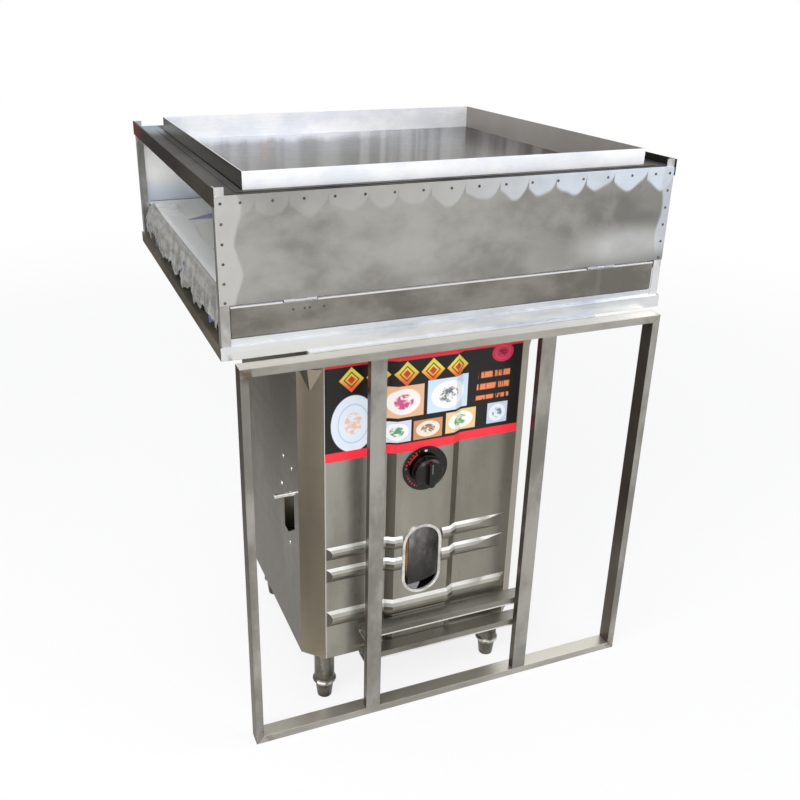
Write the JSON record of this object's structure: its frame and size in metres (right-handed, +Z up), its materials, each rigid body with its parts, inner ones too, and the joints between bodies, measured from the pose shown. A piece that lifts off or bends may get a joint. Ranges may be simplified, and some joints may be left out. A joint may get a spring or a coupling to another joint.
{
  "type": "rice noodle roll steamer",
  "caption": "Square stainless steam cabinet with a lift-out top tray and a drop flap, carried by a flat tube stand over a gas steam boiler with a window, knob and screw feet.",
  "frame": {"origin": "on the floor, under the middle of the footprint of the cabinet and its stand", "axes": "+Z up, +Y from the flap and knob at the front towards the back, +X to the right as seen from the front"},
  "size_m": [0.867, 0.879, 1.0945],
  "materials": {
    "stainless_sheet": "brushed sheet, satin",
    "stainless_tube": "rectangular tube, satin with ground welds",
    "stainless_angle": "folded or rolled angle, satin",
    "tray_steel": "bright sheet",
    "protective_film": "thin clouded film",
    "gasket_rubber": "matt",
    "bezel_black": "gloss",
    "knob_black": "satin",
    "valve_brass": "turned",
    "pipe_copper": "dull copper pipe",
    "burner_iron": "cast, matt",
    "foot_steel": "dull",
    "polished_steel": "polished"
  },
  "bodies": {
    "steamer": {"back_panel": "stainless_sheet", "base_rail_back": "stainless_tube", "base_rail_front": "stainless_tube", "base_rail_left": "stainless_tube", "base_rail_right": "stainless_tube", "boiler_back_panel": "stainless_sheet", "boiler_bottom_plate": "stainless_sheet", "boiler_cross_bars": "stainless_angle", "boiler_front_panel": "stainless_sheet", "boiler_side_left": "stainless_sheet", "boiler_side_right": "stainless_sheet", "boiler_top_plate": "stainless_sheet", "burner": "burner_iron", "cabinet_floor": "stainless_sheet", "cabinet_rest_angle": "stainless_angle", "corner_post_back_left": "stainless_angle", "corner_post_back_right": "stainless_angle", "corner_post_front_left": "stainless_angle", "corner_post_front_right": "stainless_angle", "deck_cross_angles": "stainless_angle", "deck_film": "protective_film", "deck_plate": "stainless_sheet", "flap_hinge_fixed_leaves": "polished_steel", "flap_hinge_pins": "polished_steel", "flap_stop_rail": "stainless_angle", "flue_collar": "stainless_sheet", "frame_bottom_rail": "stainless_tube", "frame_left_post": "stainless_tube", "frame_mid_post_left": "stainless_tube", "frame_mid_post_right": "stainless_tube", "frame_right_post": "stainless_tube", "frame_top_rail": "stainless_tube", "front_panel": "stainless_sheet", "gas_feed_pipe": "pipe_copper", "gas_inlet_pipe": "pipe_copper", "knob_bezel": "bezel_black", "leg_sockets": "foot_steel", "panel_rivets": "polished_steel", "recess_deck": "stainless_sheet", "shelf_rail_lower": "stainless_tube", "shelf_rail_upper": "stainless_tube", "steam_gasket": "gasket_rubber", "steam_riser": "stainless_sheet", "steam_tub": "stainless_sheet", "top_rail_front": "stainless_angle", "top_rail_left": "stainless_angle", "top_rail_right": "stainless_angle", "valve_body": "valve_brass", "water_tank": "stainless_sheet", "window_rim": "polished_steel"},
    "drop_flap": {"flap_door": "stainless_sheet", "flap_hinge_moving_leaves": "polished_steel"},
    "lift_tray": {"tray": "tray_steel"},
    "valve_rotor": {"valve_plug": "valve_brass"},
    "knob_set": {"control_knob": "knob_black", "valve_spindle": "valve_brass"},
    "levelling_foot_front_left": {"foot_front_left": "foot_steel"},
    "levelling_foot_front_right": {"foot_front_right": "foot_steel"},
    "levelling_foot_back_left": {"foot_back_left": "foot_steel"},
    "levelling_foot_back_right": {"foot_back_right": "foot_steel"}
  },
  "joints": [
    {"name": "flap_swing", "type": "hinge", "parent": "steamer", "child": "drop_flap", "pos_m": [0, -0.3948, 0.8839], "axis": [-1, 0, 0], "range_deg": [0, 90]},
    {"name": "tray_lift", "type": "slide", "parent": "steamer", "child": "lift_tray", "axis": [0, 0, 1], "range_m": [0, 0.12]},
    {"name": "valve_turn", "type": "hinge", "parent": "steamer", "child": "valve_rotor", "pos_m": [-0.052, -0.36, 0.521], "axis": [0, -1, 0], "range_deg": [0, 180]},
    {"name": "knob_push", "type": "slide", "parent": "valve_rotor", "child": "knob_set", "axis": [0, 1, 0], "range_m": [0, 0.004], "stiffness_N_per_m": 1000, "springref_m": -0.003},
    {"name": "foot_screw_front_left", "type": "slide", "parent": "steamer", "child": "levelling_foot_front_left", "axis": [0, 0, -1], "range_m": [0, 0.025]},
    {"name": "foot_screw_front_right", "type": "slide", "parent": "steamer", "child": "levelling_foot_front_right", "axis": [0, 0, -1], "range_m": [0, 0.025]},
    {"name": "foot_screw_back_left", "type": "slide", "parent": "steamer", "child": "levelling_foot_back_left", "axis": [0, 0, -1], "range_m": [0, 0.025]},
    {"name": "foot_screw_back_right", "type": "slide", "parent": "steamer", "child": "levelling_foot_back_right", "axis": [0, 0, -1], "range_m": [0, 0.025]}
  ]
}
